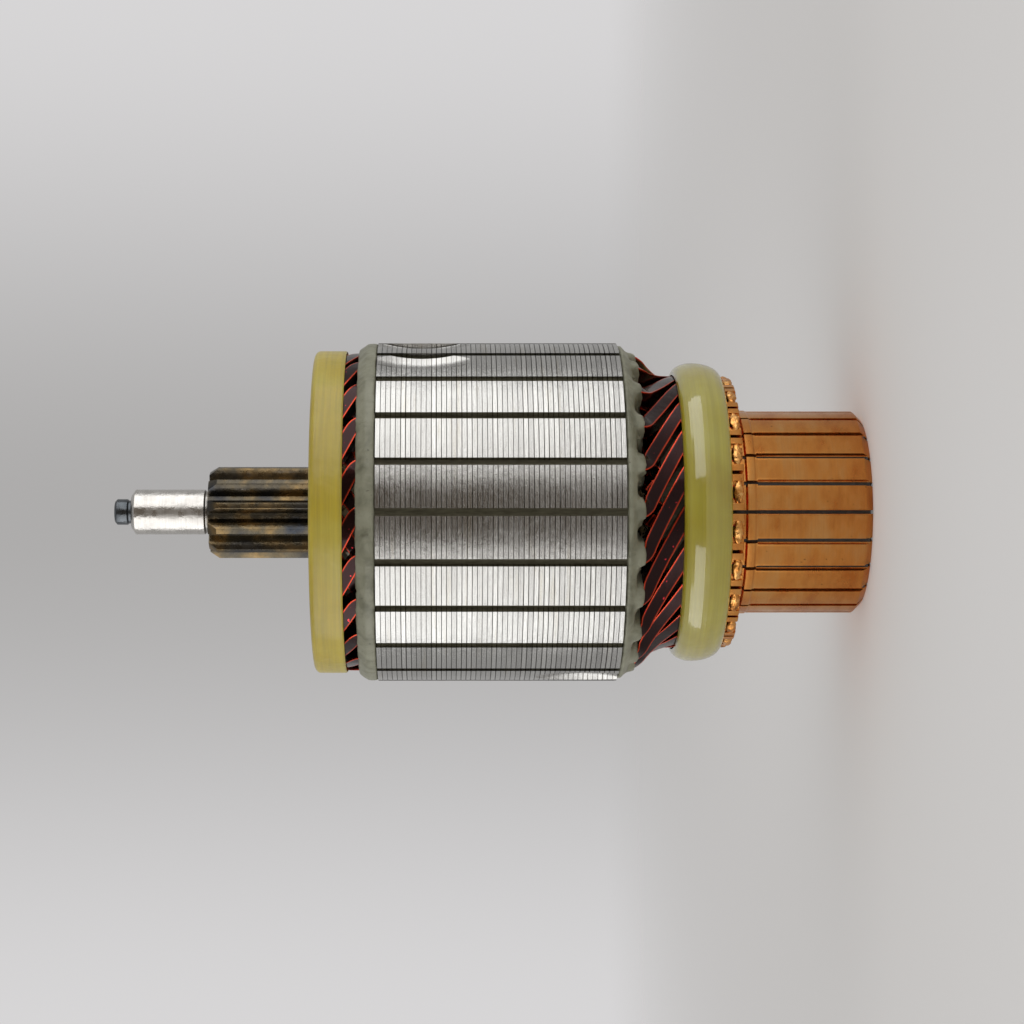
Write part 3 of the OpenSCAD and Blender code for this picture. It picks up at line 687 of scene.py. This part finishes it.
# %% Melt the insulators and the resin together
resin_grain = 0.4 * mm
sleeve_fat = 0.35 * mm
sleeve_start, sleeve_gap = 0.1 * mm, 0.3 * mm
comm_uneven, drive_uneven = 0.35 * mm, 0.3 * mm
resin_clouds = bpy.data.textures.new("resin_clouds", "CLOUDS")
resin_clouds.noise_scale = 2.6 * mm
resin_clouds.noise_depth = 2


def cut_off(height, keep_above):
    """Cuts the piece in edit mode with a level plane and closes it."""
    bpy.ops.mesh.select_all(action="SELECT")
    bpy.ops.mesh.bisect(plane_co=(0, 0, height), plane_no=(0, 0, 1), use_fill=True,
                        clear_inner=keep_above, clear_outer=not keep_above)


def wire_sleeves(name, low, high, fat):
    pins = [bpy.data.objects[f"winding_hairpin_{i + 1:02}"] for i in range(slot_count)]
    copies = [turned_copy(pin, name, 0) for pin in pins]
    bpy.ops.object.select_all(action="DESELECT")
    for twin in copies:
        twin.select_set(True)
    bpy.ops.object.join()
    sleeves = bpy.context.object
    bpy.ops.object.mode_set(mode="EDIT")
    cut_off(low, keep_above=True)
    cut_off(high, keep_above=False)
    bpy.ops.mesh.select_all(action="SELECT")
    bpy.ops.transform.shrink_fatten(value=fat)
    bpy.ops.object.mode_set(mode="OBJECT")
    return sleeves


def melted(node, name, sleeves, uneven):
    piece = welded_copy(node, name)
    if sleeves:
        sleeves.select_set(True)
        bpy.ops.object.join()
    skin = piece.modifiers.new("skin", "REMESH")
    skin.mode = "VOXEL"
    skin.voxel_size = resin_grain
    soft = piece.modifiers.new("soft", "SMOOTH")
    soft.factor = 0.5
    soft.iterations = 5
    push = piece.modifiers.new("uneven", "DISPLACE")
    push.texture = resin_clouds
    push.texture_coords = "LOCAL"
    push.strength = uneven
    push.mid_level = 0.6
    for modifier in (skin, soft, push):
        bpy.ops.object.modifier_apply(modifier=modifier.name)
    bpy.ops.object.shade_smooth()
    piece.data.materials.clear()
    piece.data.materials.append(insulator.material)
    return piece


cuff_low = heights("commutator_end_insulator")[0]
sleeves = wire_sleeves("comm_sleeves", cuff_low - sleeve_start, core_low - sleeve_gap, sleeve_fat)
comm_insulation = melted("commutator_end_insulator", "comm_end_insulation", sleeves, comm_uneven)
fit(comm_insulation, "insulator_plastic", "commutator_end_insulator")
drive_insulation = melted("drive_end_insulator", "drive_end_insulation", None, drive_uneven)
fit(drive_insulation, "insulator_plastic", "drive_end_insulator")
print("insulation of", len(comm_insulation.data.polygons), "and",
      len(drive_insulation.data.polygons), "faces")

# %% [markdown]
# ## Welds
#
# Where two wire ends meet in a riser, a weld melts them and the riser into one lump. A real
# weld bead is rounded and uneven, and no two are alike. A subdivided ico sphere, flattened and
# pushed about by a cloud texture, makes one bead. Each copy is displaced by the same clouds at
# its own place in space, so every bead comes out different.

# %% Model the welds
weld_middle = (weld_low + weld_high) / 2
weld_sink = 0.55 * mm
weld_uneven = 0.5 * mm
weld_size = (2.1 * mm, 0.62 * mm, (weld_high - weld_low) / 2)
clouds = bpy.data.textures.new("weld_clouds", "CLOUDS")
clouds.noise_scale = 0.9 * mm
clouds.noise_depth = 3


def weld_bead(name, angle):
    seat_r = weld_r - weld_sink
    place = (seat_r * sin(angle), -seat_r * cos(angle), weld_middle)
    bpy.ops.object.select_all(action="DESELECT")
    bpy.ops.mesh.primitive_ico_sphere_add(subdivisions=4, radius=1)
    bead = bpy.context.object
    bead.name = name
    bead.scale = weld_size
    bead.rotation_euler.z = angle
    bead.location = place
    bpy.ops.object.transform_apply(location=True, rotation=True, scale=True)
    push = bead.modifiers.new("molten surface", "DISPLACE")
    push.texture = clouds
    push.texture_coords = "LOCAL"
    push.strength = weld_uneven
    push.mid_level = 0.6
    bpy.ops.object.modifier_apply(modifier=push.name)
    bpy.ops.object.shade_smooth()
    bead.data.materials.append(weld_copper.material)
    return bead


for i in range(slot_count):
    bead = weld_bead(f"weld_{i + 1:02}", (i + 0.5) * pitch)
    fit(bead, "weld_copper")
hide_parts("riser_welds")
print(slot_count, "weld beads")
